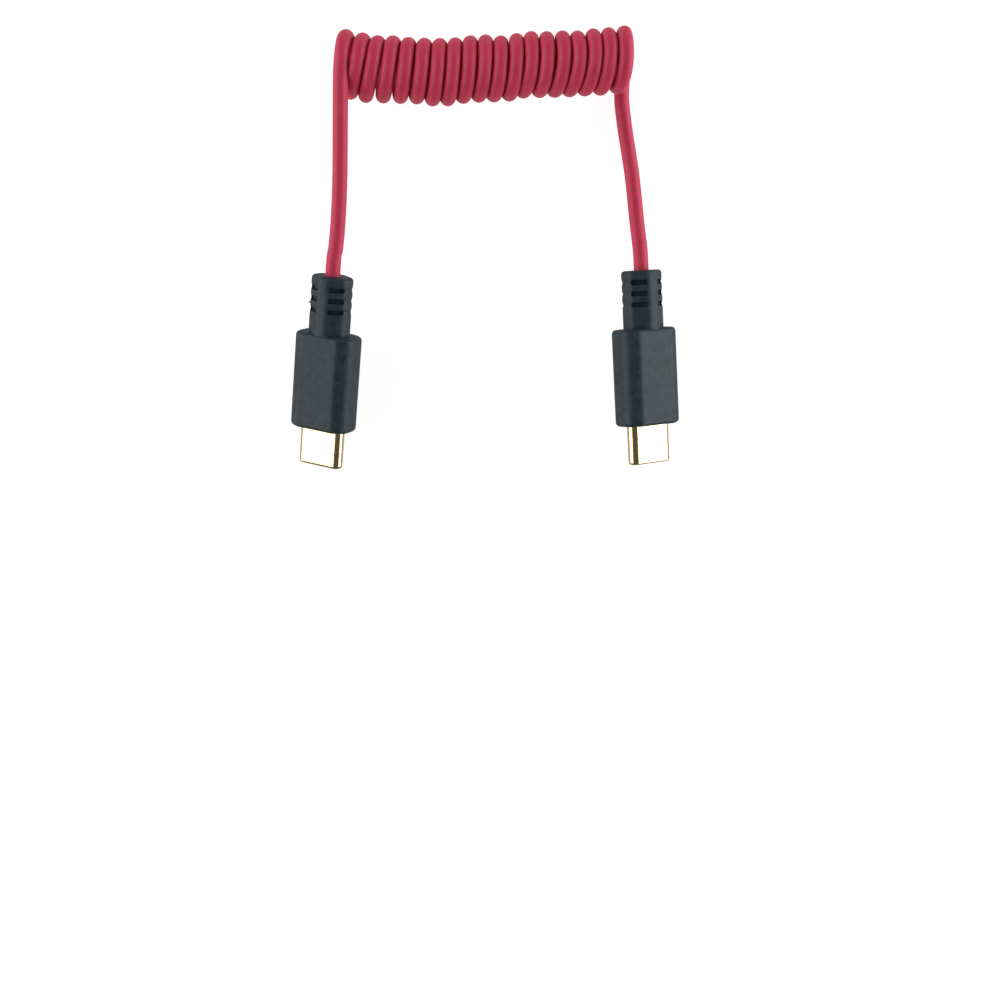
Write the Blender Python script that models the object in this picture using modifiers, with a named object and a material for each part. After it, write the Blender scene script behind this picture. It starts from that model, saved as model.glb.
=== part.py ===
"""Short coiled USB-C cable, as it lies unheld on a level floor.

Metres, +Z up. +X runs along the coil from the left plug to the right one, and +Y from the plugs
to the coil. The origin is on the floor, midway between the two plugs.

A plug's own frame has its origin in the middle of the moulding's front face, +Z towards the
mating end, X across the width and Y across the thickness.
"""
import math

import bmesh
import bpy
from mathutils import Euler, Matrix, Vector

CLEARANCE = 0.0003           # around a shell in its moulding, and at the ends of the cord
THIN_CLEARANCE = 0.0001      # around the thin pieces inside a shell

# Cord and coil
CORD_DIAMETER = 0.00254
COIL_DIAMETER = 0.0108
COIL_TURNS = 17              # between the two end turns, which belong to the legs
COIL_X = -0.00025            # middle of the coil
COIL_Y = 0.0500
COIL_SWAY = (0.0005, -0.0003, -0.0006, -0.0001, 0.0004, 0.0008, 0.0012)
COIL_RISE = (0.0, 0.0, 0.0, 0.0, 0.0002, 0.0009, 0.0012)    # as its right end lies on the leg
END_TURN_DEGREES = {"left": 270, "right": 180}

# Moulding: the grip around the connector, and the strain relief behind it
GRIP_WIDTH = 0.0112
GRIP_THICKNESS = 0.0068
GRIP_LENGTH = 0.0164
GRIP_SLANT_RUN = 0.0021
GRIP_SLANT_RISE = 0.0013
GRIP_EDGES = (0.0015, 0.0006)     # rounding of the narrow sides' edges and the wide sides'
GRIP_END_EDGES = 0.0007
RELIEF_WIDTH = 0.0071
RELIEF_THICKNESS = 0.0063
RELIEF_LENGTH = 0.0098
RELIEF_SLANT_RUN = 0.0027
RELIEF_SLANT_RISE = 0.00185
RELIEF_EDGES = (0.0010, 0.0006)
RELIEF_END_EDGES = 0.0004

# Flexing slots of the strain relief, one on each slanted side at every station
SLOT_STATIONS = 3
SLOT_LENGTH = 0.0029
SLOT_HEIGHT = 0.00085
SLOT_DEPTH = 0.0008
SLOT_PITCH = 0.00185
SLOT_START = 0.0020          # from the cord's end of the relief to the first station

# Metal shell and what it holds
SHELL_WIDTH = 0.00825
SHELL_THICKNESS = 0.0024
SHELL_WALL = 0.0003
SHELL_REACH = 0.00665        # past the grip's front face
SHELL_ROOT = 0.0040          # inside the grip
HOUSING_RECESS = 0.0003      # from the shell's rim
HOUSING_WALL = 0.0003        # around the mouth
CONTACTS = 12
CONTACT_WIDTH = 0.00025
CONTACT_THICKNESS = 0.00012
CONTACT_SIDE_GAP = 0.00055   # from the last contact to the mouth's end
CONTACT_RECESS = 0.0010      # from the housing's face
LATCH_WIDTH = 0.0004
LATCH_THICKNESS = 0.0002
LATCH_RECESS = 0.0008        # from the housing's face
SPINE_DEPTH = 0.0008         # of the bars that join the contacts and the latch arms

# How each plug lies: the middle of its grip's front face seen from above, and its degrees of
# heading, tail up and roll
PLUG_FACES = {"left": (-0.0279, -0.0098), "right": (0.02781, -0.0092)}
PLUG_TURNS = {"left": (-5.35, 7.5, -24.5), "right": (3.15, -0.5, 32.5)}

# Points on the way from each strain relief to its end turn, chosen by hand
LEG_ROUTES = {
    "left": (
        (-0.02481, 0.0210, 0.0084), (-0.02428, 0.0260, 0.0089), (-0.02389, 0.0325, 0.0094),
        (-0.02368, 0.0410, 0.0096)),
    "right": (
        (0.02561, 0.0250, 0.0040), (0.02477, 0.0330, 0.0026), (0.02353, 0.0410, 0.0015),
        (0.0230, 0.0458, 0.00132), (0.0232, 0.0505, 0.00152), (0.0231, 0.0545, 0.0033)),
}
LEG_LEAD = 0.0030            # straight stretch as the cord leaves the strain relief

CORD_RADIUS = CORD_DIAMETER / 2
TURN_RADIUS = (COIL_DIAMETER - CORD_DIAMETER) / 2
TURN_PITCH = CORD_DIAMETER   # the turns touch
COIL_LENGTH = COIL_TURNS * TURN_PITCH
COIL_HEIGHT = COIL_DIAMETER / 2
HOUSING_WIDTH = SHELL_WIDTH - 2 * (SHELL_WALL + THIN_CLEARANCE)
HOUSING_THICKNESS = SHELL_THICKNESS - 2 * (SHELL_WALL + THIN_CLEARANCE)
MOUTH_WIDTH = HOUSING_WIDTH - 2 * HOUSING_WALL
MOUTH_HEIGHT = HOUSING_THICKNESS - 2 * HOUSING_WALL
CONTACT_REACH = MOUTH_WIDTH / 2 - CONTACT_SIDE_GAP
CONTACT_PITCH = (2 * CONTACT_REACH - CONTACT_WIDTH) / (CONTACTS - 1)

parts = bpy.data.collections.new("coiled_usb_c_cable")
cutters = bpy.data.collections.new("cutters")


def clear_scene():
    for item in list(bpy.data.objects):
        bpy.data.objects.remove(item, do_unlink=True)
    bpy.context.scene.collection.children.link(parts)
    bpy.context.scene.collection.children.link(cutters)


def material(name, colour, roughness, metallic=0.0):
    made = bpy.data.materials.new(name)
    made.use_nodes = True
    shader = made.node_tree.nodes["Principled BSDF"]
    shader.inputs["Base Color"].default_value = (*colour, 1.0)
    shader.inputs["Roughness"].default_value = roughness
    shader.inputs["Metallic"].default_value = metallic
    return made


def mesh_object(name, curve, collection):
    """A mesh object with the curve's shape and its caps welded. The curve is removed."""
    holder = bpy.data.objects.new(name + "_curve", curve)
    bpy.context.scene.collection.objects.link(holder)
    graph = bpy.context.evaluated_depsgraph_get()
    mesh = bpy.data.meshes.new_from_object(holder.evaluated_get(graph))
    bpy.data.objects.remove(holder, do_unlink=True)
    bpy.data.curves.remove(curve)
    shape = bmesh.new()
    shape.from_mesh(mesh)
    bmesh.ops.remove_doubles(shape, verts=shape.verts, dist=1e-6)
    bmesh.ops.recalc_face_normals(shape, faces=shape.faces)
    shape.to_mesh(mesh)
    shape.free()
    made = bpy.data.objects.new(name, mesh)
    collection.objects.link(made)
    return made


def prism(name, outlines, low, high, collection=parts):
    """The flat outlines, thickened along Z from low to high. An outline inside another is a hole."""
    curve = bpy.data.curves.new(name, "CURVE")
    curve.dimensions = "2D"
    curve.fill_mode = "BOTH"
    curve.extrude = (high - low) / 2
    for outline in outlines:
        spline = curve.splines.new("POLY")
        spline.points.add(len(outline) - 1)
        for point, (x, y) in zip(spline.points, outline):
            point.co = (x, y, 0.0, 1.0)
        spline.use_cyclic_u = True
    made = mesh_object(name, curve, collection)
    made.data.transform(Matrix.Translation((0, 0, (low + high) / 2)))
    return made


def tube_curve(name, points, radius, resolution, scales=None):
    """A POLY curve with a round section. Scales holds a factor on the radius for each point."""
    curve = bpy.data.curves.new(name, "CURVE")
    curve.dimensions = "3D"
    curve.bevel_depth = radius
    curve.bevel_resolution = resolution
    curve.use_fill_caps = True
    spline = curve.splines.new("POLY")
    spline.points.add(len(points) - 1)
    for index, point in enumerate(points):
        spline.points[index].co = (*point, 1.0)
        if scales:
            spline.points[index].radius = scales[index]
    return curve


def slanted_outline(width, thickness, run, rise, edges):
    """A rectangle with its corners cut slanting, run across and rise up, and its edges rounded."""
    x, y = width / 2, thickness / 2
    half = [
        Vector((x, -y + rise)), Vector((x, y - rise)), Vector((x - run, y)), Vector((-x + run, y))]
    corners = half + [-corner for corner in half]
    narrow, wide = edges
    roundings = 2 * [narrow, narrow, wide, wide]
    befores = corners[-1:] + corners
    afters = corners[1:] + corners
    outline = []
    for before, corner, after, rounding in zip(befores, corners, afters, roundings):
        start = corner + (before - corner).normalized() * rounding
        finish = corner + (after - corner).normalized() * rounding
        outline += [start, (start + 2 * corner + finish) / 4, finish]
    return outline


def stadium(width, height, steps=8):
    """A flat outline with round ends."""
    radius = height / 2
    straight = width / 2 - radius
    half = []
    for step in range(steps + 1):
        angle = math.pi * (step / steps - 0.5)
        half.append((straight + radius * math.cos(angle), radius * math.sin(angle)))
    return half + [(-across, -up) for across, up in half]


def smooth_curve(points, steps):
    """Points on a Catmull-Rom curve through the given points."""
    ends = [points[0] * 2 - points[1]] + points + [points[-1] * 2 - points[-2]]
    curve = []
    for before, start, finish, after in zip(ends, ends[1:], ends[2:], ends[3:]):
        for step in range(steps):
            t = step / steps
            curve.append(0.5 * (
                2 * start
                + (finish - before) * t
                + (2 * before - 5 * start + 4 * finish - after) * t ** 2
                + (3 * start - before - 3 * finish + after) * t ** 3
            ))
    curve.append(points[-1])
    return curve


def boolean(target, other, operation):
    modifier = target.modifiers.new(operation.lower(), "BOOLEAN")
    modifier.operation = operation
    modifier.solver = "EXACT"
    modifier.object = other


def round_ends(target, width):
    """Round the edges of a prism's two ends, whose own edges along it are rounded already."""
    modifier = target.modifiers.new("round_ends", "BEVEL")
    modifier.limit_method = "ANGLE"
    modifier.angle_limit = math.radians(60)
    modifier.width = width
    modifier.segments = 2


def as_cutter(item):
    item.hide_render = True
    item.display_type = "WIRE"


def coil_axis():
    """Points on the coil's axis, with its sway and rise read at equal steps along the length."""
    step = COIL_LENGTH / (len(COIL_SWAY) - 1)
    start = COIL_X - COIL_LENGTH / 2
    points = []
    for index, (sway, rise) in enumerate(zip(COIL_SWAY, COIL_RISE)):
        points.append(Vector((start + index * step, COIL_Y + sway, COIL_HEIGHT + rise)))
    return points


def point_along(points, fraction):
    """The point of an evenly read curve at a fraction of its length."""
    place = min(max(fraction, 0.0), 1.0) * (len(points) - 1)
    index = min(int(place), len(points) - 2)
    return points[index].lerp(points[index + 1], place - index)


def make_coil(red):
    """The turns between the end turns, as one ribbed tube around the coil's open middle."""
    axis = smooth_curve(coil_axis(), 16)
    places = []
    scales = []
    for turn in range(COIL_TURNS):
        for offset in (-0.5, -0.3, 0.0, 0.3):
            bulge = math.sqrt(max(CORD_RADIUS ** 2 - (offset * TURN_PITCH) ** 2, 0.0))
            bulge = max(bulge, CORD_RADIUS * 0.4)
            places.append(point_along(axis, (turn + 0.5 + offset) / COIL_TURNS))
            scales.append((TURN_RADIUS + bulge) / COIL_HEIGHT)
    places.append(axis[-1])
    scales.append(scales[0])
    coil = mesh_object("coil", tube_curve("coil", places, COIL_HEIGHT, 8, scales), parts)
    bore_radius = TURN_RADIUS - CORD_RADIUS
    past = Vector((bore_radius, 0, 0))
    way = [axis[0] - past] + axis[::8] + [axis[-1] + past]
    bore = mesh_object("coil_bore", tube_curve("coil_bore", way, bore_radius, 4), cutters)
    as_cutter(bore)
    boolean(coil, bore, "DIFFERENCE")
    coil.data.materials.append(red)


def end_turn(side):
    """The last turn on a side: from the top on the left, and from the far side on the right."""
    axis = coil_axis()
    beside = CLEARANCE + CORD_RADIUS
    if side == "left":
        along = (axis[1] - axis[0]).normalized()
        centre = axis[0] - along * beside
        first, last = 0, END_TURN_DEGREES[side]
    else:
        along = (axis[-1] - axis[-2]).normalized()
        centre = axis[-1] + along * beside
        first, last = 90, 90 - END_TURN_DEGREES[side]
    up = Vector((0, 0, 1))
    across = up.cross(along)
    steps = 6
    points = []
    for step in range(steps + 1):
        angle = math.radians(first + (last - first) * step / steps)
        points.append(centre + TURN_RADIUS * (across * math.sin(angle) + up * math.cos(angle)))
    return points


def make_leg(side, plug, red):
    """The cord from a plug's strain relief to the coil, with the end turn that it runs into."""
    rear = -(GRIP_LENGTH + RELIEF_LENGTH)
    start = plug.matrix_world @ Vector((0, 0, rear - CLEARANCE))
    lead = plug.matrix_world @ Vector((0, 0, rear - LEG_LEAD))
    route = [start, lead] + [Vector(point) for point in LEG_ROUTES[side]] + end_turn(side)
    curve = tube_curve(side + "_leg", smooth_curve(route, 3), CORD_RADIUS, 2)
    leg = bpy.data.objects.new(side + "_leg", curve)
    parts.objects.link(leg)
    curve.materials.append(red)


def make_moulding(side, plug, black):
    """Grip and strain relief, one moulded piece, with a pocket for the shell."""
    outline = slanted_outline(
        GRIP_WIDTH, GRIP_THICKNESS, GRIP_SLANT_RUN, GRIP_SLANT_RISE, GRIP_EDGES)
    moulding = prism(side + "_moulding", [outline], -GRIP_LENGTH, 0)
    round_ends(moulding, GRIP_END_EDGES)

    outline = slanted_outline(
        RELIEF_WIDTH, RELIEF_THICKNESS, RELIEF_SLANT_RUN, RELIEF_SLANT_RISE, RELIEF_EDGES)
    inside_grip = GRIP_LENGTH / 2
    relief = prism(side + "_relief", [outline], -GRIP_LENGTH - RELIEF_LENGTH, -inside_grip, cutters)
    round_ends(relief, RELIEF_END_EDGES)
    boolean(moulding, relief, "UNION")

    pocket_outline = stadium(SHELL_WIDTH + 2 * CLEARANCE, SHELL_THICKNESS + 2 * CLEARANCE)
    past_front = SHELL_ROOT
    pocket = prism(
        side + "_pocket", [pocket_outline], -SHELL_ROOT - CLEARANCE, past_front, cutters)
    boolean(moulding, pocket, "DIFFERENCE")

    slots = make_slots(side)
    boolean(moulding, slots, "DIFFERENCE")
    moulding.parent = plug
    for cutter in (relief, pocket, slots):
        cutter.parent = plug
        as_cutter(cutter)
    moulding.data.materials.append(black)
    return moulding


def make_slots(side):
    """One block for each flexing slot, centred on a slanted side of the strain relief."""
    across = (RELIEF_WIDTH - RELIEF_SLANT_RUN) / 2
    up = (RELIEF_THICKNESS - RELIEF_SLANT_RISE) / 2
    facing = math.atan2(RELIEF_SLANT_RUN, RELIEF_SLANT_RISE)
    size = Matrix.Diagonal((2 * SLOT_DEPTH, SLOT_LENGTH, SLOT_HEIGHT, 1))
    shape = bmesh.new()
    for station in range(SLOT_STATIONS):
        z = -GRIP_LENGTH - RELIEF_LENGTH + SLOT_START + station * SLOT_PITCH
        for right, top in ((1, 1), (-1, 1), (-1, -1), (1, -1)):
            place = Matrix.Translation((right * across, top * up, z))
            turn = Matrix.Rotation(right * top * facing, 4, "Z")
            bmesh.ops.create_cube(shape, size=1, matrix=place @ turn @ size)
    mesh = bpy.data.meshes.new(side + "_slots")
    shape.to_mesh(mesh)
    shape.free()
    slots = bpy.data.objects.new(side + "_slots", mesh)
    cutters.objects.link(slots)
    return slots


def make_shell(side, plug, gold):
    outer = stadium(SHELL_WIDTH, SHELL_THICKNESS)
    inner = stadium(SHELL_WIDTH - 2 * SHELL_WALL, SHELL_THICKNESS - 2 * SHELL_WALL)
    shell = prism(side + "_shell", [outer, inner], -SHELL_ROOT, SHELL_REACH)
    shell.parent = plug
    shell.data.materials.append(gold)


def make_housing(side, plug, black):
    """The insulator in the shell, with the mouth that takes the socket's tongue."""
    outer = stadium(HOUSING_WIDTH, HOUSING_THICKNESS)
    mouth = stadium(MOUTH_WIDTH, MOUTH_HEIGHT)
    housing = prism(
        side + "_housing", [outer, mouth], -SHELL_ROOT, SHELL_REACH - HOUSING_RECESS)
    housing.parent = plug
    housing.data.materials.append(black)


def make_contacts(side, plug, gold):
    """An upper and a lower row of contact springs, each row joined at its root."""
    low = -SHELL_ROOT
    spine = low + SPINE_DEPTH
    high = SHELL_REACH - HOUSING_RECESS - CONTACT_RECESS
    outline = [(-CONTACT_REACH, low), (CONTACT_REACH, low)]
    for index in range(CONTACTS):
        right = CONTACT_REACH - index * CONTACT_PITCH
        left = right - CONTACT_WIDTH
        outline += [(right, spine), (right, high), (left, high), (left, spine)]
    inner = (MOUTH_HEIGHT / 2 - THIN_CLEARANCE) - CONTACT_THICKNESS
    for row, sign in (("upper", 1), ("lower", -1)):
        contacts = prism(f"{side}_{row}_contacts", [outline], inner, inner + CONTACT_THICKNESS)
        stand_up(contacts, sign)
        contacts.parent = plug
        contacts.data.materials.append(gold)


def make_latch(side, plug, steel):
    """The flat fork between the contact rows, whose two arms grip the socket's tongue."""
    low = -SHELL_ROOT
    spine = low + SPINE_DEPTH
    high = SHELL_REACH - HOUSING_RECESS - LATCH_RECESS
    side_gap = MOUTH_HEIGHT / 2 - math.sqrt((MOUTH_HEIGHT ** 2 - LATCH_THICKNESS ** 2) / 4)
    outer = MOUTH_WIDTH / 2 - side_gap - THIN_CLEARANCE
    inner = outer - LATCH_WIDTH
    outline = [(-outer, low), (outer, low), (outer, high), (inner, high),
               (inner, spine), (-inner, spine), (-inner, high), (-outer, high)]
    latch = prism(side + "_latch", [outline], -LATCH_THICKNESS / 2, LATCH_THICKNESS / 2)
    stand_up(latch, 1)
    latch.parent = plug
    latch.data.materials.append(steel)


def stand_up(item, sign):
    """Turn a flat outline drawn across and along the plug so that it faces up or down."""
    turn = Matrix(((1, 0, 0, 0), (0, 0, sign, 0), (0, 1, 0, 0), (0, 0, 0, 1)))
    item.data.transform(turn)
    if turn.determinant() < 0:
        item.data.flip_normals()


def make_plug(side, red, black, gold, steel):
    """A plug on an empty that carries its lie, let down until its moulding meets the floor."""
    x, y = PLUG_FACES[side]
    heading, tail_up, roll = PLUG_TURNS[side]
    turns = Euler([math.radians(tail_up), math.radians(roll), math.radians(heading)], "YXZ")
    plug = bpy.data.objects.new(side + "_plug", None)
    parts.objects.link(plug)
    upright = Matrix.Rotation(math.pi / 2, 4, "X")
    plug.matrix_world = Matrix.Translation((x, y, 0)) @ turns.to_matrix().to_4x4() @ upright
    moulding = make_moulding(side, plug, black)
    bpy.context.view_layer.update()
    graph = bpy.context.evaluated_depsgraph_get()
    resting = moulding.evaluated_get(graph)
    lowest = min((resting.matrix_world @ vertex.co).z for vertex in resting.data.vertices)
    plug.location.z -= lowest
    bpy.context.view_layer.update()
    make_shell(side, plug, gold)
    make_housing(side, plug, black)
    make_contacts(side, plug, gold)
    make_latch(side, plug, steel)
    make_leg(side, plug, red)


def main():
    clear_scene()
    red = material("red_jacket", (0.42, 0.03, 0.06), 0.4)
    black = material("black_moulding", (0.035, 0.042, 0.05), 0.6)
    gold = material("gold_plating", (0.85, 0.65, 0.30), 0.25, metallic=1.0)
    steel = material("latch_steel", (0.6, 0.6, 0.6), 0.3, metallic=1.0)
    for side in PLUG_FACES:
        make_plug(side, red, black, gold, steel)
    make_coil(red)
    bpy.context.view_layer.update()


main()
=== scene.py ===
"""Looks of the short coiled USB-C cable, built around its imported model. Metres, +Z up."""

import math

import bmesh
import bpy
from mathutils import Euler, Matrix, Vector


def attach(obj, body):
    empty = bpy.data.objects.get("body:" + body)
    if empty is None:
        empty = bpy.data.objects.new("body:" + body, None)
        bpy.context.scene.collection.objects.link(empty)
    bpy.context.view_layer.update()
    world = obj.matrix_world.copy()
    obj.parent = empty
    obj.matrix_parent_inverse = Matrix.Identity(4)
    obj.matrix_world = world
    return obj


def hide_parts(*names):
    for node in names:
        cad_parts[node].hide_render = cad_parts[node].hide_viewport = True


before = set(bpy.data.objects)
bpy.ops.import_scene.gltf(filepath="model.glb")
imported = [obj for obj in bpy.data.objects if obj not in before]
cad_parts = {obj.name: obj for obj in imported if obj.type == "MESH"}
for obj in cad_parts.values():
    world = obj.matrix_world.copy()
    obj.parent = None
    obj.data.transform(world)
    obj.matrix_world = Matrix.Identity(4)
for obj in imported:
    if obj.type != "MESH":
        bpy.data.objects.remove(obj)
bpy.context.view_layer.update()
scene = bpy.context.scene

# The studio: a camera that looks almost straight down at a white table, and a long soft light on
# either side of it, which leave a dark gap overhead. Reflections show the room's lower half in the
# table's place, and to the camera the room is white.
CAMERA_PLACE = (0.0025, 0.0200, 0.2800)
CAMERA_TILT = math.radians(8.75151)  # from straight down, towards the plugs
CAMERA_SENSOR = 36.0                 # width in millimetres, as the lens's length is
CAMERA_LENS = 57.996

LIGHT_DISTANCE = 0.50
LIGHT_LENGTH = 0.80
LIGHT_Y = 0.12
LIGHTS = {-1: (64, 0.46, 3.2), 1: (73, 0.27, 3.3)}   # left and right: degrees from the top, width, power
ROOM_GREY = 0.10
MIRRORED_TABLE = 0.50                # how bright the table is in reflections
HORIZON_BLEND = 0.05                 # where one turns into the other, as a height on a unit sphere
TABLE_SIZE = 6.0
TABLE_GREY = 0.35
TABLE_GLOW = 0.88


class Link:
    """A node's output in a shader or shape tree. Arithmetic on it adds Math nodes."""

    def __init__(self, tree, socket):
        self.tree = tree
        self.socket = socket

    def maths(self, operation, first, second):
        return add_node(self.tree, "ShaderNodeMath", {"operation": operation}, {0: first, 1: second})

    def __add__(self, other):
        return self.maths("ADD", self, other)

    def __sub__(self, other):
        return self.maths("SUBTRACT", self, other)

    def __rsub__(self, other):
        return self.maths("SUBTRACT", other, self)

    def __mul__(self, other):
        return self.maths("MULTIPLY", self, other)

    __radd__ = __add__
    __rmul__ = __mul__


def add_node(tree, kind, settings, inputs, output=0):
    """A node of that kind in the tree, with its settings and then its sockets set or linked."""
    node = tree.nodes.new(kind)
    for name, value in settings.items():
        setattr(node, name, value)
    for name, value in inputs.items():
        if isinstance(value, Link):
            tree.links.new(value.socket, node.inputs[name])
        else:
            node.inputs[name].default_value = value
    return Link(tree, node.outputs[output])


class Finish:
    """A material with one Principled shader."""

    def __init__(self, name):
        self.material = bpy.data.materials.new(name)
        self.material.use_nodes = True
        self.tree = self.material.node_tree
        self.shader = self.tree.nodes["Principled BSDF"]

    def node(self, kind, settings, inputs, output=0):
        return add_node(self.tree, kind, settings, inputs, output)

    def shade_between(self, factor, first, second):
        """The colour that lies between the two given ones, as the factor says."""
        colours = {6: (*first, 1), 7: (*second, 1)}      # by number, since A and B name others too
        return self.node("ShaderNodeMix", {"data_type": "RGBA"}, {"Factor": factor, **colours}, 2)

    def set(self, **sockets):
        """Sets or links the shader's sockets, whose names are given with _ for a space."""
        for name, value in sockets.items():
            socket = self.shader.inputs[name.replace("_", " ")]
            if isinstance(value, Link):
                self.tree.links.new(value.socket, socket)
            else:
                socket.default_value = value


camera = bpy.data.objects.new("camera", bpy.data.cameras.new("camera"))
camera.location = CAMERA_PLACE
camera.rotation_euler = (-CAMERA_TILT, 0, 0)
camera.data.sensor_width = CAMERA_SENSOR
camera.data.lens = CAMERA_LENS
camera.data.clip_start = 0.005
scene.collection.objects.link(camera)
scene.camera = camera

for hand, (from_top, width, power) in LIGHTS.items():
    from_top = math.radians(from_top)
    lamp = bpy.data.lights.new("side_light", "AREA")
    lamp.shape = "RECTANGLE"
    lamp.size = width
    lamp.size_y = LIGHT_LENGTH
    lamp.energy = power
    softbox = bpy.data.objects.new("side_light", lamp)
    softbox.location = (
        hand * LIGHT_DISTANCE * math.sin(from_top), LIGHT_Y, LIGHT_DISTANCE * math.cos(from_top))
    softbox.rotation_euler = (0, hand * from_top, 0)
    softbox.visible_camera = False
    scene.collection.objects.link(softbox)

room = bpy.data.worlds.new("room")
room.use_nodes = True
towards = add_node(room.node_tree, "ShaderNodeTexCoord", {}, {}, "Generated")
height = add_node(room.node_tree, "ShaderNodeSeparateXYZ", {}, {"Vector": towards}, "Z")
mirrored = add_node(room.node_tree, "ShaderNodeMapRange", {}, {
    "Value": height,
    "From Min": -HORIZON_BLEND,
    "From Max": HORIZON_BLEND,
    "To Min": MIRRORED_TABLE,
    "To Max": ROOM_GREY,
})
to_camera = add_node(room.node_tree, "ShaderNodeLightPath", {}, {}, "Is Camera Ray")
brightness = mirrored.maths("MAXIMUM", mirrored, to_camera)
room.node_tree.links.new(brightness.socket, room.node_tree.nodes["Background"].inputs["Color"])
scene.world = room
scene.view_settings.view_transform = "Standard"

table_white = Finish("table_white")
table_white.set(
    Base_Color=(TABLE_GREY, TABLE_GREY, TABLE_GREY, 1),
    Roughness=0.9,
    Specular_IOR_Level=0.1,
    Emission_Color=(1, 1, 1, 1),
    Emission_Strength=TABLE_GLOW,
)
table_mesh = bpy.data.meshes.new("table")
shape = bmesh.new()
bmesh.ops.create_grid(shape, x_segments=1, y_segments=1, size=TABLE_SIZE / 2)
shape.to_mesh(table_mesh)
shape.free()
table_mesh.materials.append(table_white.material)
table = bpy.data.objects.new("table", table_mesh)
table.visible_glossy = False
scene.collection.objects.link(table)

# The cord: one length of soft red jacket over its wires, wound on a rod while warm so that it
# keeps its close helix, with a straight leg left at each end for a plug to be moulded on.
CORD_DIAMETER = 0.00254
COIL_DIAMETER = 0.0108
COIL_PASSES = 19                  # strands that show from above
COIL_PITCH = 0.002517             # the turns press on each other
COIL_START_X = -0.02264           # far bend of the first strand
COIL_Y = 0.0500
COIL_SWAY = (0.0005, -0.0003, -0.0006, -0.0001, 0.0004, 0.0008, 0.0012)    # away from the plugs
COIL_RISE = (0.0, 0.0, 0.0, 0.0, 0.0002, 0.0009, 0.0012)    # as its right end lies on the leg
FIRST_LEAN = 0.0009               # of the near bends at the left, which the pull of the leg slants
LEAN_TURNS = 4.5
LAST_LEAN = -0.0004
BULGE = 0.0005                    # to the right of the strands' tops, at the right end
# How each strand lies off the even helix, to the right and away from the plugs: its near bend, its
# top, which moves to the right only, and its far bend
SHIFT_UNIT = 0.00001
NEAR_SHIFTS = (
    (0, 0), (-23, -24), (-5, -2), (6, 11), (6, 18), (5, -8), (5, -10), (11, 14), (17, 12), (14, -2),
    (19, -5), (-1, 26), (15, 19), (13, 6), (3, 0), (3, -2), (4, -6), (0, 0))
TOP_SHIFTS = (
    -14, 33, 18, 17, 23, 30, 34, 34, 41, 49, 46, 52, 51, 52, 69, 67, 64, 47, 26)
FAR_SHIFTS = (
    (-24, 45), (0, 12), (-3, -1), (-5, 23), (-3, 14), (5, 13), (6, 11), (9, 11), (3, 24), (1, 19),
    (0, -15), (7, 4), (-7, 20), (-6, 2), (0, -4), (-8, -21), (-4, -3), (-5, -1), (-2, 16))
POINTS_PER_TURN = 64
CORD_SIDES = 32
CORD_INTO_RELIEF = 0.0015
LEG_LEAD = 0.0030                 # straight out of the strain relief
LEG_STEPS = 16                    # from one point of a leg's route to the next
LEG_ROUTES = {
    "left": (
        (-0.02481, 0.0210, 0.0084), (-0.02428, 0.0260, 0.0089), (-0.02389, 0.0325, 0.0094),
        (-0.02368, 0.0410, 0.0096)),
    "right": (
        (0.02561, 0.0250, 0.0040), (0.02477, 0.0330, 0.0026), (0.02353, 0.0410, 0.0015),
        (0.0230, 0.0458, 0.00132), (0.0232, 0.0505, 0.00152), (0.0231, 0.0545, 0.0033)),
}
GRIP_LENGTH = 0.0164
RELIEF_LENGTH = 0.0098
PLUG_TURNS = {"left": (-5.35, 7.5, -24.5), "right": (3.15, -0.5, 32.5)}   # heading, tail up, roll

turn_radius = (COIL_DIAMETER - CORD_DIAMETER) / 2
relief_end = -(GRIP_LENGTH + RELIEF_LENGTH)       # on a plug's own axis, from its front face


def plug_place(side):
    """The matrix from a plug's own frame to the world, from its turns and its packed moulding.

    A plug's own frame has its origin in the middle of the moulding's front face, +Z towards the
    mating end, X across the width and Y across the thickness.
    """
    heading, tail_up, roll = PLUG_TURNS[side]
    lie = Euler([math.radians(tail_up), math.radians(roll), math.radians(heading)], "YXZ")
    turn = lie.to_matrix() @ Matrix.Rotation(math.pi / 2, 3, "X")
    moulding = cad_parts[side + "_moulding"].data
    corners = [turn.transposed() @ vertex.co for vertex in moulding.vertices]
    low = Vector([min(corner[axis] for corner in corners) for axis in range(3)])
    high = Vector([max(corner[axis] for corner in corners) for axis in range(3)])
    middle = (low + high) / 2
    return Matrix.Translation(turn @ Vector((middle.x, middle.y, high.z))) @ turn.to_4x4()


def smooth_step(before, start, finish, after, t):
    """The value at t, from 0 to 1, on a smooth curve from start to finish."""
    return 0.5 * (
        2 * start
        + (finish - before) * t
        + (2 * before - 5 * start + 4 * finish - after) * t ** 2
        + (3 * start - before - 3 * finish + after) * t ** 3
    )


def smooth_curve(points, steps):
    """Points on a smooth curve from the second of the given points to the last but one."""
    curve = []
    for before, start, finish, after in zip(points, points[1:], points[2:], points[3:]):
        for step in range(steps):
            curve.append(smooth_step(before, start, finish, after, step / steps))
    return curve


def read_along_coil(values, x):
    """Reads evenly spread values smoothly at x along the coil."""
    place = (x - COIL_START_X) / ((COIL_PASSES - 1) * COIL_PITCH) * (len(values) - 1)
    index = min(max(int(place), 0), len(values) - 2)
    before = values[max(index - 1, 0)]
    after = values[min(index + 2, len(values) - 1)]
    return smooth_step(before, values[index], values[index + 1], after, min(max(place - index, 0), 1))


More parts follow.
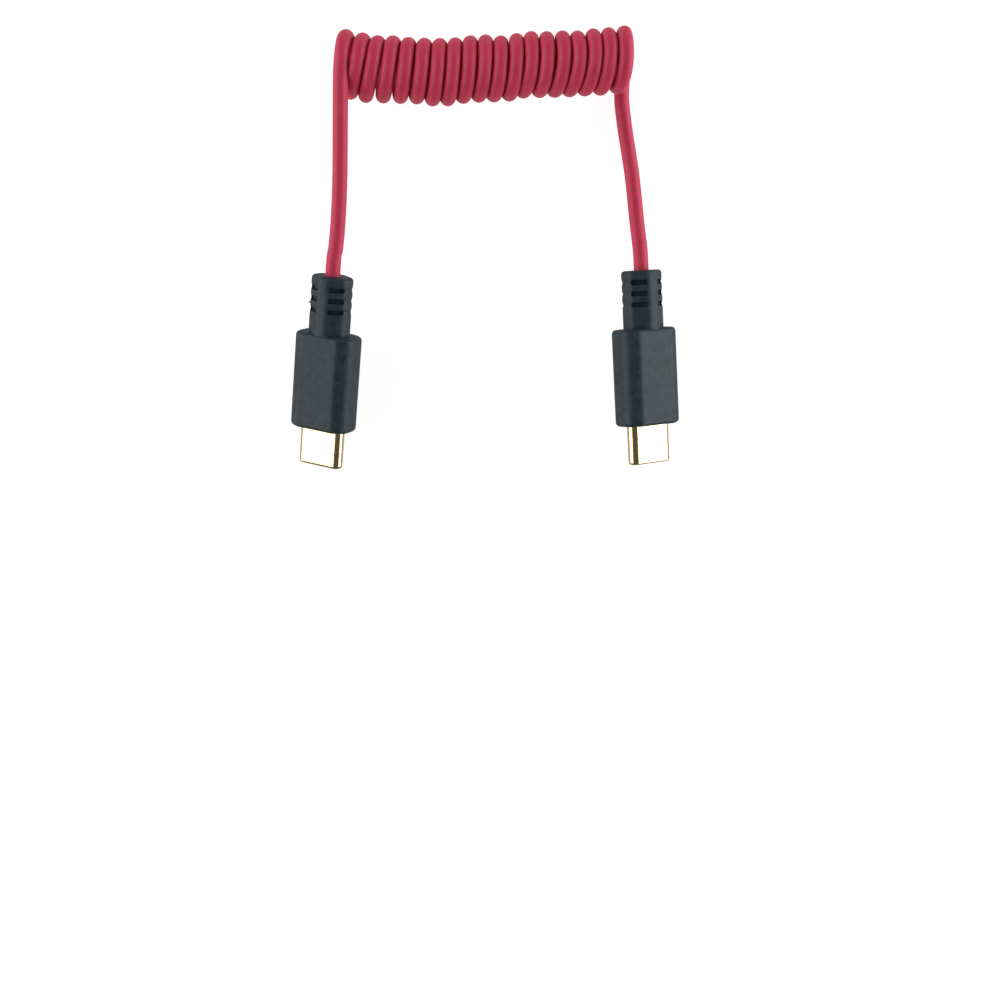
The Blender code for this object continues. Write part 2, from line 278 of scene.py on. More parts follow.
def helix_point(turn):
    """A point of the wound cord. Turn 0 is the top of the first strand, and it goes far side down."""
    angle = 2 * math.pi * turn
    far = (1 + math.sin(angle)) / 2
    top = (1 + math.cos(angle)) / 2
    strand = math.floor(turn + 0.75)      # counted from one far bend to the next
    if strand < 1:
        lean = 0
    elif strand == COIL_PASSES - 1:
        lean = LAST_LEAN
    else:
        lean = FIRST_LEAN * max(0, 1 - (strand - 1) / LEAN_TURNS)
    along = COIL_START_X + (turn - 0.25) * COIL_PITCH
    x = along - lean * (1 - far) + BULGE * turn / COIL_PASSES * top
    x += TOP_SHIFTS[round(turn)] * SHIFT_UNIT * max(0, math.cos(angle)) ** 2
    y = COIL_Y + read_along_coil(COIL_SWAY, along) + turn_radius * math.sin(angle)
    shift = FAR_SHIFTS[round(turn - 0.25)] if math.sin(angle) > 0 else NEAR_SHIFTS[round(turn - 0.75)]
    x += shift[0] * SHIFT_UNIT * math.sin(angle) ** 2
    y += shift[1] * SHIFT_UNIT * math.sin(angle) ** 2
    middle = COIL_DIAMETER / 2 + read_along_coil(COIL_RISE, along)
    return Vector((x, y, middle + turn_radius * math.cos(angle)))


def leg_points(side, coil_end, coil_way):
    """The cord from inside a plug's strain relief to the coil's end, which it meets along coil_way."""
    place = plug_place(side)
    start, lead = (place @ Vector((0, 0, relief_end + step)) for step in (CORD_INTO_RELIEF, -LEG_LEAD))
    route = [Vector(point) for point in LEG_ROUTES[side]]
    before = 2 * start - lead
    after = coil_end + coil_way * (coil_end - route[-1]).length
    return smooth_curve([before, start, lead] + route + [coil_end, after], LEG_STEPS)


turns = COIL_PASSES - 0.75        # from the top of the first strand to the last far bend
coil_steps = round(turns * POINTS_PER_TURN)
wound = [helix_point(turns * step / coil_steps) for step in range(coil_steps + 1)]
into_coil = (wound[1] - wound[0]).normalized()
out_of_coil = (wound[-1] - wound[-2]).normalized()
left_points = leg_points("left", wound[0], into_coil)
right_points = leg_points("right", wound[-1], -out_of_coil)
cord_path = left_points + wound + right_points[::-1]


def shape_tree(name, inputs):
    """A Geometry Nodes tree with the named inputs, and a link from each input by its name."""
    tree = bpy.data.node_groups.new(name, "GeometryNodeTree")
    tree.interface.new_socket("Geometry", in_out="OUTPUT", socket_type="NodeSocketGeometry")
    tree.interface.new_socket("Geometry", in_out="INPUT", socket_type="NodeSocketGeometry")
    for label, kind in inputs.items():
        tree.interface.new_socket(label, in_out="INPUT", socket_type="NodeSocket" + kind)
    entry = tree.nodes.new("NodeGroupInput")
    return tree, {socket.name: Link(tree, socket) for socket in entry.outputs if socket.name}


def finish_tree(tree, geometry, material):
    """Ends the tree in realized instances of the one material."""
    realized = add_node(tree, "GeometryNodeRealizeInstances", {}, {"Geometry": geometry})
    painted = add_node(tree, "GeometryNodeSetMaterial", {}, {"Geometry": realized, "Material": material})
    exit_node = tree.nodes.new("NodeGroupOutput")
    tree.links.new(painted.socket, exit_node.inputs["Geometry"])


def grown_mesh(name, data, tree, values):
    """The plain mesh that the tree makes of the data with those input values."""
    holder = bpy.data.objects.new(name + "_source", data)
    scene.collection.objects.link(holder)
    modifier = holder.modifiers.new(tree.name, "NODES")
    modifier.node_group = tree
    for socket in tree.interface.items_tree:
        if socket.in_out == "INPUT" and socket.name in values:
            modifier[socket.identifier] = values[socket.name]
    graph = bpy.context.evaluated_depsgraph_get()
    mesh = bpy.data.meshes.new_from_object(holder.evaluated_get(graph))
    mesh.name = name
    holder.modifiers.remove(modifier)
    bpy.data.objects.remove(holder)
    return mesh


def make_object(name, mesh):
    """An object of the mesh, linked into the scene."""
    made = bpy.data.objects.new(name, mesh)
    scene.collection.objects.link(made)
    return made


def jacket_finish():
    """Satin red rubber: fine grain, faint drawn lines along the cord, slightly uneven colour."""
    jacket = Finish("red_jacket")
    place = jacket.node("ShaderNodeAttribute", {"attribute_name": "jacket_place"}, {}, "Vector")
    drawn = jacket.node("ShaderNodeMapping", {}, {"Vector": place, "Scale": (1, 1, 0.04)})
    lines = jacket.node("ShaderNodeTexNoise", {}, {"Vector": drawn, "Scale": 2600, "Detail": 3})
    grain = jacket.node("ShaderNodeTexNoise", {}, {"Vector": place, "Scale": 9000, "Detail": 2})
    clouds = jacket.node("ShaderNodeTexNoise", {}, {"Vector": place, "Scale": 420, "Detail": 4})
    colour = jacket.shade_between(clouds, (0.49, 0.026, 0.066), (0.59, 0.043, 0.096))
    height = grain * 0.6 + lines * 0.4
    bump = jacket.node("ShaderNodeBump", {}, {"Strength": 0.35, "Distance": 0.00003, "Height": height})
    jacket.set(
        Base_Color=colour,
        Roughness=0.44 + 0.12 * clouds,
        Specular_IOR_Level=0.3,
        Subsurface_Weight=0.2,
        Subsurface_Radius=(1.0, 0.25, 0.2),
        Subsurface_Scale=0.0006,
        Normal=bump,
    )
    return jacket.material


tree, entry = shape_tree("round_jacket", {"Diameter": "Float", "Sides": "Int", "Material": "Material"})
radius = entry["Diameter"] * 0.5
ring = add_node(tree, "GeometryNodeCurvePrimitiveCircle", {}, {
    "Resolution": entry["Sides"], "Radius": radius})
measured = {}
for name, curve, domain_output in (("along", entry["Geometry"], "Length"), ("around", ring, "Factor")):
    measure = add_node(tree, "GeometryNodeSplineParameter", {}, {}, domain_output)
    capture = tree.nodes.new("GeometryNodeCaptureAttribute")
    capture.capture_items.new("FLOAT", name)
    tree.links.new(curve.socket, capture.inputs["Geometry"])
    tree.links.new(measure.socket, capture.inputs[name])
    measured[name] = (Link(tree, capture.outputs["Geometry"]), Link(tree, capture.outputs[name]))
tube = add_node(tree, "GeometryNodeCurveToMesh", {}, {
    "Curve": measured["along"][0], "Profile Curve": measured["around"][0], "Fill Caps": True})
angle = measured["around"][1] * (2 * math.pi)
place = add_node(tree, "ShaderNodeCombineXYZ", {}, {
    "X": angle.maths("COSINE", angle, 0.0) * radius,
    "Y": angle.maths("SINE", angle, 0.0) * radius,
    "Z": measured["along"][1]})
marked = add_node(
    tree, "GeometryNodeStoreNamedAttribute", {"data_type": "FLOAT_VECTOR", "domain": "POINT"},
    {"Geometry": tube, "Name": "jacket_place", "Value": place})
smooth = add_node(tree, "GeometryNodeSetShadeSmooth", {}, {"Geometry": marked, "Shade Smooth": True})
finish_tree(tree, smooth, entry["Material"])

line = bpy.data.curves.new("cord_line", "CURVE")
line.dimensions = "3D"
spline = line.splines.new("POLY")
spline.points.add(len(cord_path) - 1)
for point, place in zip(spline.points, cord_path):
    point.co = (*place, 1)
red_jacket = jacket_finish()
cord = make_object("cord", grown_mesh("cord", line, tree, {
    "Diameter": CORD_DIAMETER, "Sides": CORD_SIDES, "Material": red_jacket}))
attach(cord, "root")
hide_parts("coil", "left_leg", "right_leg")

# The mouldings: soft black plastic shot around each connector, grip and strain relief in one
# piece. Slots in the slanted sides and a waist at each let the relief bend. The mould's halves
# leave a fine line along both narrow sides, and a nib of flash at one slot's end.
GRIP_WIDTH = 0.0112
GRIP_THICKNESS = 0.0068
GRIP_SLANT = (0.0021, 0.0013)     # run across, rise up
GRIP_EDGES = (0.0013, 0.0005)     # rounding of the narrow sides' edges, and of the wide sides'
GRIP_ROUNDING = 0.0007
RELIEF_WIDTH = 0.0071
RELIEF_THICKNESS = 0.0063
RELIEF_SLANT = (0.0027, 0.00185)
RELIEF_EDGES = (0.0009, 0.0006)
RELIEF_ROUNDING = 0.0006
SLOT_STATIONS = 3
SLOT_LENGTH = 0.0029
SLOT_HEIGHT = 0.00085
SLOT_DEPTH = 0.0008
SLOT_PITCH = 0.00185
SLOT_START = 0.0020
SLOT_ROUNDING = 0.00025
WAIST_DEPTH = 0.00018
WAIST_STEPS = 10
BORE_GAP = 0.00004
BORE_DEPTH = 0.0030
SHELL_WIDTH = 0.00825
SHELL_THICKNESS = 0.0024
SHELL_REACH = 0.00665
SHELL_ROOT = 0.0040
POCKET_GAP = 0.00004
PARTING_WIDTH = 0.00012
PARTING_HEIGHT = 0.00003
NIB_LENGTH = 0.00075
NIB_RADIUS = 0.00032
NIB_TIP_RADIUS = NIB_RADIUS / 6
NIB_SIDES = 12
NIB_PLACE = (-0.00325, 0.00125)   # across and up, at the edge of a slanted side
NIB_STATION = 1.5                 # in slots from the first one
ARC_STEPS = 8
ROUNDED_ANGLE = math.radians(40)  # an edge that turns by less isn't rounded
SHARP_ANGLE = math.radians(50)    # and one that turns by less is shaded smooth


def slanted_ring(size, slant, edges, inset, z, waist=0):
    """A rectangle with slanted corners, rounded edges and the parting line, drawn in by inset.

    The waist is how far the narrow sides stand in.
    """
    x, y = size[0] / 2, size[1] / 2
    run, rise = slant
    half = [
        Vector((x, -y + rise)), Vector((x, y - rise)), Vector((x - run, y)), Vector((-x + run, y))]
    corners = half + [-corner for corner in half]
    ring = []
    for number, corner in enumerate(corners):
        rounding = edges[0] if number % 4 < 2 else edges[1]
        way_in = (corner - corners[number - 1]).normalized()
        way_out = (corners[(number + 1) % 8] - corner).normalized()
        turn = way_in.angle(way_out)
        bend = rounding / math.tan(turn / 2)
        facing = math.atan2(-way_in.x, way_in.y)
        centre = corner + Vector((-way_in.y, way_in.x)) * bend - way_in * rounding
        for step in range(ARC_STEPS + 1):
            angle = facing + turn * step / ARC_STEPS
            ring.append(centre + Vector((math.cos(angle), math.sin(angle))) * (bend - inset))
        if number % 4 == 0:
            outward = 1 if number == 0 else -1
            side_x = outward * (x - inset)
            ridge = outward * PARTING_WIDTH / 2
            ring += [
                Vector((side_x, -ridge)),
                Vector((side_x + outward * PARTING_HEIGHT, 0)),
                Vector((side_x, ridge)),
            ]
    return [Vector((point.x * (1 - waist / x), point.y, z)) for point in ring]


def stadium_ring(width, height, inset, z, steps=16):
    """A ring with round ends, drawn in by inset."""
    bend = height / 2 - inset
    straight = (width - height) / 2
    half = []
    for step in range(steps + 1):
        angle = math.pi * (step / steps - 0.5)
        half.append(Vector((straight + bend * math.cos(angle), bend * math.sin(angle), z)))
    return half + [Vector((-point.x, -point.y, z)) for point in half]


def lofted(name, rings, closed=False):
    """A mesh through rings of equally many points. It is capped, or its last ring meets its first."""
    shape = bmesh.new()
    rows = [[shape.verts.new(point) for point in ring] for ring in rings]
    pairs = list(zip(rows, rows[1:] + rows[:1])) if closed else list(zip(rows, rows[1:]))
    for row, following in pairs:
        for index in range(len(row)):
            beside = (index + 1) % len(row)
            shape.faces.new((row[index], row[beside], following[beside], following[index]))
    if not closed:
        shape.faces.new(rows[0][::-1])
        shape.faces.new(rows[-1])
    bmesh.ops.recalc_face_normals(shape, faces=shape.faces)
    mesh = bpy.data.meshes.new(name)
    shape.to_mesh(mesh)
    shape.free()
    return mesh


def rounded_block(name, size, slant, edges, rounding, low, high, waists=()):
    """A closed length of a slanted section from low to high, with both ends rounded.

    Between the ends come the waists, each a place along it and a depth.
    """
    ends = []
    for end, outward in ((low, -1), (high, 1)):
        profile = []
        for step in range(ARC_STEPS + 1):
            angle = math.pi / 2 * step / ARC_STEPS
            z = end - outward * rounding * (1 - math.sin(angle))
            profile.append((rounding * (1 - math.cos(angle)), z))
        ends.append([slanted_ring(size, slant, edges, inset, z) for inset, z in profile[::outward]])
    between = [slanted_ring(size, slant, edges, 0, z, waist) for z, waist in waists]
    return lofted(name, ends[0] + between + ends[1])


def relief_waists():
    """The relief's narrow sides swell between the slots and stand in at each of them."""
    waists = []
    start = relief_end + SLOT_START - SLOT_PITCH / 2
    for step in range(SLOT_STATIONS * WAIST_STEPS + 1):
        swell = abs(math.cos(math.pi * step / WAIST_STEPS))
        waists.append((start + step * SLOT_PITCH / WAIST_STEPS, WAIST_DEPTH * (1 - swell)))
    return waists


def flash_nib():
    """A little cone that stands out of the edge of a slanted side, where the mould leaked."""
    outward = Vector((*NIB_PLACE, 0)).normalized()
    root = Vector((*NIB_PLACE, relief_end + SLOT_START + NIB_STATION * SLOT_PITCH))
    stand = Vector((0, 0, 1)).rotation_difference(outward).to_matrix().to_4x4()
    shape = bmesh.new()
    bmesh.ops.create_cone(
        shape, cap_ends=True, segments=NIB_SIDES, radius1=NIB_RADIUS, radius2=NIB_TIP_RADIUS,
        depth=NIB_LENGTH, matrix=Matrix.Translation(root) @ stand)
    mesh = bpy.data.meshes.new("nib")
    shape.to_mesh(mesh)
    shape.free()
    return mesh


def settled(piece):
    """Replaces the piece's mesh by what its modifiers make of it, and removes them."""
    graph = bpy.context.evaluated_depsgraph_get()
    mesh = bpy.data.meshes.new_from_object(piece.evaluated_get(graph))
    piece.modifiers.clear()
    piece.data = mesh
    return piece


def cut(piece, other, operation="DIFFERENCE"):
    """Cuts or joins the other mesh object into the piece, and removes it."""
    modifier = piece.modifiers.new("cut", "BOOLEAN")
    modifier.operation = operation
    modifier.object = other
    settled(piece)
    bpy.data.objects.remove(other)


def round_rims(piece, width, segments=2):
    """Rounds every edge of the piece that turns by more than the least angle."""
    modifier = piece.modifiers.new("rims", "BEVEL")
    modifier.limit_method = "ANGLE"
    modifier.angle_limit = ROUNDED_ANGLE
    modifier.width = width
    modifier.segments = segments
    return settled(piece)


def smooth_surface(piece):
    """Smooth shading whose flats stay flat."""
    piece.data.shade_smooth()
    piece.data.set_sharp_from_angle(angle=SHARP_ANGLE)
    modifier = piece.modifiers.new("normals", "WEIGHTED_NORMAL")
    modifier.keep_sharp = True
    return settled(piece)


slot_tree, entry = shape_tree("flexing_slots", {
    "Stations": "Int", "Pitch": "Float", "Block": "Vector", "Place": "Vector", "Facing": "Float",
    "Material": "Material"})
block = add_node(slot_tree, "GeometryNodeMeshCube", {}, {"Size": entry["Block"]})
place = [
    add_node(slot_tree, "ShaderNodeSeparateXYZ", {}, {"Vector": entry["Place"]}, axis) for axis in "XYZ"]
pair = slot_tree.nodes.new("GeometryNodeJoinGeometry")
for hand in (1, -1):
    corner = add_node(slot_tree, "ShaderNodeCombineXYZ", {}, {
        "X": place[0] * hand, "Y": place[1], "Z": place[2]})
    turn = add_node(slot_tree, "ShaderNodeCombineXYZ", {}, {"Z": entry["Facing"] * hand})
    placed = add_node(slot_tree, "GeometryNodeTransform", {}, {
        "Geometry": block, "Translation": corner, "Rotation": turn})
    slot_tree.links.new(placed.socket, pair.inputs["Geometry"])
pair = Link(slot_tree, pair.outputs["Geometry"])
below = add_node(slot_tree, "GeometryNodeTransform", {}, {
    "Geometry": pair, "Rotation": (0, 0, math.pi)})
around = slot_tree.nodes.new("GeometryNodeJoinGeometry")
for half in (pair, below):
    slot_tree.links.new(half.socket, around.inputs["Geometry"])
around = Link(slot_tree, around.outputs["Geometry"])
step = add_node(slot_tree, "ShaderNodeCombineXYZ", {}, {"Z": entry["Pitch"]})
stations = add_node(slot_tree, "GeometryNodeMeshLine", {}, {"Count": entry["Stations"], "Offset": step})
slots = add_node(slot_tree, "GeometryNodeInstanceOnPoints", {}, {"Points": stations, "Instance": around})
finish_tree(slot_tree, slots, entry["Material"])


def moulding_finish():
    """Black plastic from a spark-roughened mould: fine grain, mottled in patches."""
    plastic = Finish("black_moulding")
    place = plastic.node("ShaderNodeTexCoord", {}, {}, "Object")
    grain = plastic.node("ShaderNodeTexNoise", {}, {"Vector": place, "Scale": 3600, "Detail": 3})
    pits = plastic.node("ShaderNodeTexVoronoi", {}, {"Vector": place, "Scale": 3200})
    clouds = plastic.node("ShaderNodeTexNoise", {}, {"Vector": place, "Scale": 900, "Detail": 5})
    mottle = 1.3 * clouds + 1.1 * grain - 0.7
    colour = plastic.shade_between(mottle, (0.002, 0.010, 0.017), (0.024, 0.041, 0.053))
    height = grain * 0.6 + pits * 0.4
    bump = plastic.node("ShaderNodeBump", {}, {"Strength": 0.9, "Distance": 0.00005, "Height": height})
    plastic.set(Base_Color=colour, Roughness=0.46 + 0.20 * grain, Normal=bump, Specular_IOR_Level=0.4)
    return plastic.material


black_moulding = moulding_finish()
for side in PLUG_TURNS:
    body = make_object(side + "_plug_body", rounded_block(
        "grip", (GRIP_WIDTH, GRIP_THICKNESS), GRIP_SLANT, GRIP_EDGES, GRIP_ROUNDING, -GRIP_LENGTH, 0))
    relief = make_object("relief", rounded_block(
        "relief", (RELIEF_WIDTH, RELIEF_THICKNESS), RELIEF_SLANT, RELIEF_EDGES, RELIEF_ROUNDING,
        relief_end, -GRIP_LENGTH / 2, relief_waists()))
    cut(body, relief, "UNION")
    slots = make_object("slots", grown_mesh("slots", bpy.data.meshes.new("slots"), slot_tree, {
        "Stations": SLOT_STATIONS,
        "Pitch": SLOT_PITCH,
        "Block": (2 * SLOT_DEPTH, SLOT_LENGTH, SLOT_HEIGHT),
        "Place": (
            (RELIEF_WIDTH - RELIEF_SLANT[0]) / 2, (RELIEF_THICKNESS - RELIEF_SLANT[1]) / 2,
            relief_end + SLOT_START),
        "Facing": math.atan2(*RELIEF_SLANT),
        "Material": black_moulding,
    }))
    round_rims(slots, SLOT_ROUNDING, 3)
    cut(body, slots)
    pocket = [
        stadium_ring(SHELL_WIDTH + 2 * POCKET_GAP, SHELL_THICKNESS + 2 * POCKET_GAP, 0, z)
        for z in (-SHELL_ROOT - POCKET_GAP, SHELL_ROOT)]
    cut(body, make_object("pocket", lofted("pocket", pocket)))
    bore_size = CORD_DIAMETER + 2 * BORE_GAP
    bore = [stadium_ring(bore_size, bore_size, 0, relief_end + z) for z in (-BORE_DEPTH, BORE_DEPTH)]
    cut(body, make_object("bore", lofted("bore", bore)))
    if side == "left":
        cut(body, make_object("nib", flash_nib()), "UNION")
    smooth_surface(body)
    body.data.transform(plug_place(side))
    body.data.materials.clear()
    body.data.materials.append(black_moulding)
    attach(body, "root")
    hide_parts(side + "_moulding")

# The shells: stainless strip drawn into a seamless tube and gold plated. The rim at the mating
# end is turned in a little, so that the plug finds its socket.
SHELL_WALL = 0.0003
RIM_LENGTH = 0.00060
RIM_TURN_IN = 0.00028
RIM_STEPS = 8


def gold_finish():
    """Bright gold plating with the fine drawing lines of the strip beneath it."""
    gold = Finish("gold_plating")
    place = gold.node("ShaderNodeTexCoord", {}, {}, "Object")
    drawn = gold.node("ShaderNodeMapping", {}, {"Vector": place, "Scale": (1, 0.05, 1)})
    lines = gold.node("ShaderNodeTexNoise", {}, {"Vector": drawn, "Scale": 5000, "Detail": 3})
    clouds = gold.node("ShaderNodeTexNoise", {}, {"Vector": place, "Scale": 700, "Detail": 3})
    colour = gold.shade_between(clouds, (0.82, 0.61, 0.32), (0.90, 0.71, 0.41))
    bump = gold.node("ShaderNodeBump", {}, {"Strength": 0.06, "Distance": 0.00001, "Height": lines})
    gold.set(Base_Color=colour, Metallic=1.0, Roughness=0.12 + 0.10 * lines, Normal=bump)
    return gold.material


def placed_in_plug(piece, side, node):
    """Lays the piece into its plug as the stand-in of its solid, riding with it."""
    piece.data.transform(plug_place(side))
    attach(piece, "root")
    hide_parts(side + "_" + node)


gold_plating = gold_finish()
for side in PLUG_TURNS:
    profile = [(0, -SHELL_ROOT)]
    for step in range(RIM_STEPS + 1):
        angle = math.pi / 2 * step / RIM_STEPS
        z = SHELL_REACH - RIM_LENGTH * (1 - math.sin(angle))
        profile.append((RIM_TURN_IN * (1 - math.cos(angle)), z))
    for inset, z in ((SHELL_WALL, SHELL_REACH), (SHELL_WALL, -SHELL_ROOT)):
        profile.append((inset, z))
    rings = [stadium_ring(SHELL_WIDTH, SHELL_THICKNESS, inset, z, 24) for inset, z in profile]
    shell = make_object(side + "_shell_tube", lofted("shell", rings, closed=True))
    smooth_surface(shell)
    shell.data.materials.append(gold_plating)
    placed_in_plug(shell, side, "shell")

# The insulators: black glass-filled plastic pressed into each shell, with the mouth that takes the
# socket's tongue and a groove behind each contact spring.
THIN_GAP = 0.0001
HOUSING_RECESS = 0.0003
HOUSING_WALL = 0.0003
HOUSING_ROUNDING = 0.00008
MOUTH_FLOOR = -0.0030
CONTACTS = 12
CONTACT_WIDTH = 0.00025
CONTACT_SIDE_GAP = 0.00055
GROOVE_WIDTH = 0.00031
GROOVE_DEPTH = 0.00018
GROOVE_START = 0.00055            # behind the insulator's face

housing_width = SHELL_WIDTH - 2 * (SHELL_WALL + THIN_GAP)
housing_thickness = SHELL_THICKNESS - 2 * (SHELL_WALL + THIN_GAP)
housing_face = SHELL_REACH - HOUSING_RECESS
mouth_width = housing_width - 2 * HOUSING_WALL
mouth_height = housing_thickness - 2 * HOUSING_WALL
contact_reach = mouth_width / 2 - CONTACT_SIDE_GAP
contact_pitch = (2 * contact_reach - CONTACT_WIDTH) / (CONTACTS - 1)


def insulator_finish():
    """Satin black moulded plastic with a faint swirl of its glass filler."""
    plastic = Finish("black_housing")
    place = plastic.node("ShaderNodeTexCoord", {}, {}, "Object")
    swirl = plastic.node("ShaderNodeTexNoise", {}, {
        "Vector": place, "Scale": 2400, "Detail": 4, "Distortion": 1.5})
    colour = plastic.shade_between(swirl, (0.014, 0.014, 0.016), (0.030, 0.030, 0.032))
    bump = plastic.node("ShaderNodeBump", {}, {"Strength": 0.3, "Distance": 0.00002, "Height": swirl})
    plastic.set(Base_Color=colour, Roughness=0.35 + 0.15 * swirl, Normal=bump)
    return plastic.material


groove_tree, entry = shape_tree("contact_grooves", {
    "Count": "Int", "Pitch": "Float", "Block": "Vector", "Place": "Vector", "Material": "Material"})
block = add_node(groove_tree, "GeometryNodeMeshCube", {}, {"Size": entry["Block"]})
step = add_node(groove_tree, "ShaderNodeCombineXYZ", {}, {"X": entry["Pitch"]})
line = add_node(groove_tree, "GeometryNodeMeshLine", {}, {
    "Count": entry["Count"], "Start Location": entry["Place"], "Offset": step})
row = add_node(groove_tree, "GeometryNodeInstanceOnPoints", {}, {"Points": line, "Instance": block})
opposite = add_node(groove_tree, "GeometryNodeTransform", {}, {
    "Geometry": row, "Rotation": (0, 0, math.pi)})
both = groove_tree.nodes.new("GeometryNodeJoinGeometry")
for half in (row, opposite):
    groove_tree.links.new(half.socket, both.inputs["Geometry"])
finish_tree(groove_tree, Link(groove_tree, both.outputs["Geometry"]), entry["Material"])

black_housing = insulator_finish()
for side in PLUG_TURNS:
    profile = [(0, -SHELL_ROOT)]
    for step in range(ARC_STEPS + 1):
        angle = math.pi * step / ARC_STEPS
        inset = HOUSING_WALL / 2 - (HOUSING_WALL / 2) * math.cos(angle)
        profile.append((inset, housing_face - HOUSING_ROUNDING * (1 - math.sin(angle))))
    profile.append((HOUSING_WALL, MOUTH_FLOOR))
    rings = [stadium_ring(housing_width, housing_thickness, inset, z) for inset, z in profile]
    housing = make_object(side + "_insulator", lofted("insulator", rings))
    groove_length = housing_face - GROOVE_START - MOUTH_FLOOR
    grooves = make_object("grooves", grown_mesh("grooves", bpy.data.meshes.new("grooves"), groove_tree, {
        "Count": CONTACTS,
        "Pitch": contact_pitch,
        "Block": (GROOVE_WIDTH, 2 * GROOVE_DEPTH, groove_length),
        "Place": (
            CONTACT_WIDTH / 2 - contact_reach, mouth_height / 2, MOUTH_FLOOR + groove_length / 2),
        "Material": black_housing,
    }))
    cut(housing, grooves)
    smooth_surface(housing)
    housing.data.materials.clear()
    housing.data.materials.append(black_housing)
    placed_in_plug(housing, side, "housing")

# The contact springs: two rows of twelve stamped from thin gold-plated strip. Each is bowed
# towards the middle near its tip, where it presses on the socket's tongue.
CONTACT_THICKNESS = 0.00012
CONTACT_RECESS = 0.0010
SPINE_DEPTH = 0.0008              # of the bar that joins the springs at their root
SPINE_THICKNESS = 0.000108        # a little less than the springs', so that no faces coincide
SPRING_REST = 0.00034             # of the strip's middle from the plug's middle
SPRING_BOW = 0.00016
SPRING_BOW_BACK = 0.0009          # from the tip to the middle of the bow
SPRING_BOW_LENGTH = 0.0018
SPRING_STEPS = 16

spring_tree, entry = shape_tree("spring_row", {
    "Count": "Int", "Pitch": "Float", "Start": "Float", "Spine": "Vector", "Spine Place": "Vector",
    "Material": "Material"})
start = add_node(spring_tree, "ShaderNodeCombineXYZ", {}, {"X": entry["Start"]})
step = add_node(spring_tree, "ShaderNodeCombineXYZ", {}, {"X": entry["Pitch"]})
line = add_node(spring_tree, "GeometryNodeMeshLine", {}, {
    "Count": entry["Count"], "Start Location": start, "Offset": step})
springs = add_node(spring_tree, "GeometryNodeInstanceOnPoints", {}, {
    "Points": line, "Instance": entry["Geometry"]})
bar = add_node(spring_tree, "GeometryNodeMeshCube", {}, {"Size": entry["Spine"]})
bar = add_node(spring_tree, "GeometryNodeTransform", {}, {
    "Geometry": bar, "Translation": entry["Spine Place"]})
whole = spring_tree.nodes.new("GeometryNodeJoinGeometry")
for part in (springs, bar):
    spring_tree.links.new(part.socket, whole.inputs["Geometry"])
finish_tree(spring_tree, Link(spring_tree, whole.outputs["Geometry"]), entry["Material"])

spring_root = -SHELL_ROOT + THIN_GAP
spring_tip = housing_face - CONTACT_RECESS
spring_rings = []                 # closer together near the tip, where the strip bends
for step in range(SPRING_STEPS + 1):
    z = spring_tip + (spring_root - spring_tip) * (1 - step / SPRING_STEPS) ** 2
    bow = min(abs(spring_tip - SPRING_BOW_BACK - z) / SPRING_BOW_LENGTH, 1)
    middle = SPRING_REST - SPRING_BOW * (1 + math.cos(math.pi * bow)) / 2
    spring_rings.append([
        Vector((across * CONTACT_WIDTH / 2, middle + up * CONTACT_THICKNESS / 2, z))
        for across, up in ((-1, -1), (1, -1), (1, 1), (-1, 1))])
for side in PLUG_TURNS:
    for name, hand in (("upper", 1), ("lower", -1)):
        springs = make_object(f"{side}_{name}_springs", grown_mesh(
            "springs", lofted("spring", spring_rings), spring_tree, {
                "Count": CONTACTS,
                "Pitch": contact_pitch,
                "Start": CONTACT_WIDTH / 2 - contact_reach,
                "Spine": (2 * contact_reach, SPINE_THICKNESS, SPINE_DEPTH),
                "Spine Place": (0, SPRING_REST, spring_root + SPINE_DEPTH / 2),
                "Material": gold_plating,
            }))
        if hand < 0:
            springs.data.transform(Matrix.Rotation(math.pi, 4, "Z"))
        placed_in_plug(springs, side, name + "_contacts")

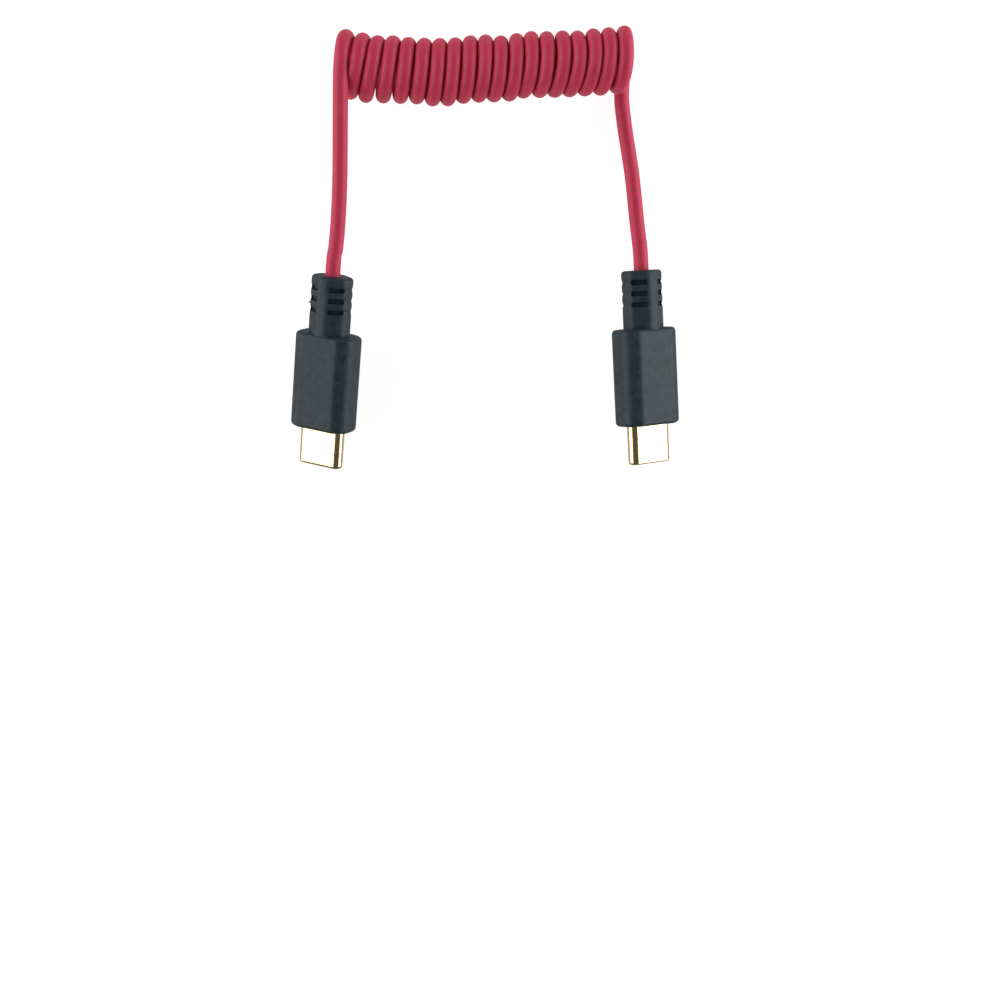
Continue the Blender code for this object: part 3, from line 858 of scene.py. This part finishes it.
# The latches: a flat fork of spring steel between the rows of springs. The tips of its two arms
# are hooked towards each other, and snap into notches in the socket's tongue.
LATCH_WIDTH = 0.0004
LATCH_THICKNESS = 0.0002
LATCH_RECESS = 0.0008
HOOK_LENGTH = 0.0007
HOOK_REACH = 0.00028
LATCH_ROUNDING = 0.00004


def steel_finish():
    """Plain spring steel with the lines of its rolling."""
    steel = Finish("latch_steel")
    place = steel.node("ShaderNodeTexCoord", {}, {}, "Object")
    rolled = steel.node("ShaderNodeMapping", {}, {"Vector": place, "Scale": (1, 0.06, 1)})
    lines = steel.node("ShaderNodeTexNoise", {}, {"Vector": rolled, "Scale": 6000, "Detail": 3})
    colour = steel.shade_between(lines, (0.50, 0.50, 0.50), (0.66, 0.66, 0.65))
    steel.set(Base_Color=colour, Metallic=1.0, Roughness=0.22 + 0.16 * lines)
    return steel.material


latch_steel = steel_finish()
side_gap = mouth_height / 2 - math.sqrt((mouth_height ** 2 - LATCH_THICKNESS ** 2) / 4)
arm_outer = mouth_width / 2 - side_gap - THIN_GAP
arm_inner = arm_outer - LATCH_WIDTH
latch_root = -SHELL_ROOT + THIN_GAP
latch_tip = housing_face - LATCH_RECESS
half_fork = [                     # one arm, from its root over the hooked tip and back down
    (arm_outer, latch_root),
    (arm_outer, latch_tip - HOOK_LENGTH / 3),
    (arm_inner, latch_tip),
    (arm_inner - HOOK_REACH, latch_tip - HOOK_LENGTH / 2),
    (arm_inner - HOOK_REACH, latch_tip - HOOK_LENGTH * 0.7),
    (arm_inner, latch_tip - HOOK_LENGTH * 1.3),
    (arm_inner, latch_root + SPINE_DEPTH),
]
fork = half_fork + [(-across, along) for across, along in half_fork[::-1]]
for side in PLUG_TURNS:
    rings = [
        [Vector((across, up * LATCH_THICKNESS / 2, along)) for across, along in fork] for up in (-1, 1)]
    latch = make_object(side + "_latch_fork", lofted("latch", rings))
    round_rims(latch, LATCH_ROUNDING)
    smooth_surface(latch)
    latch.data.materials.append(latch_steel)
    placed_in_plug(latch, side, "latch")
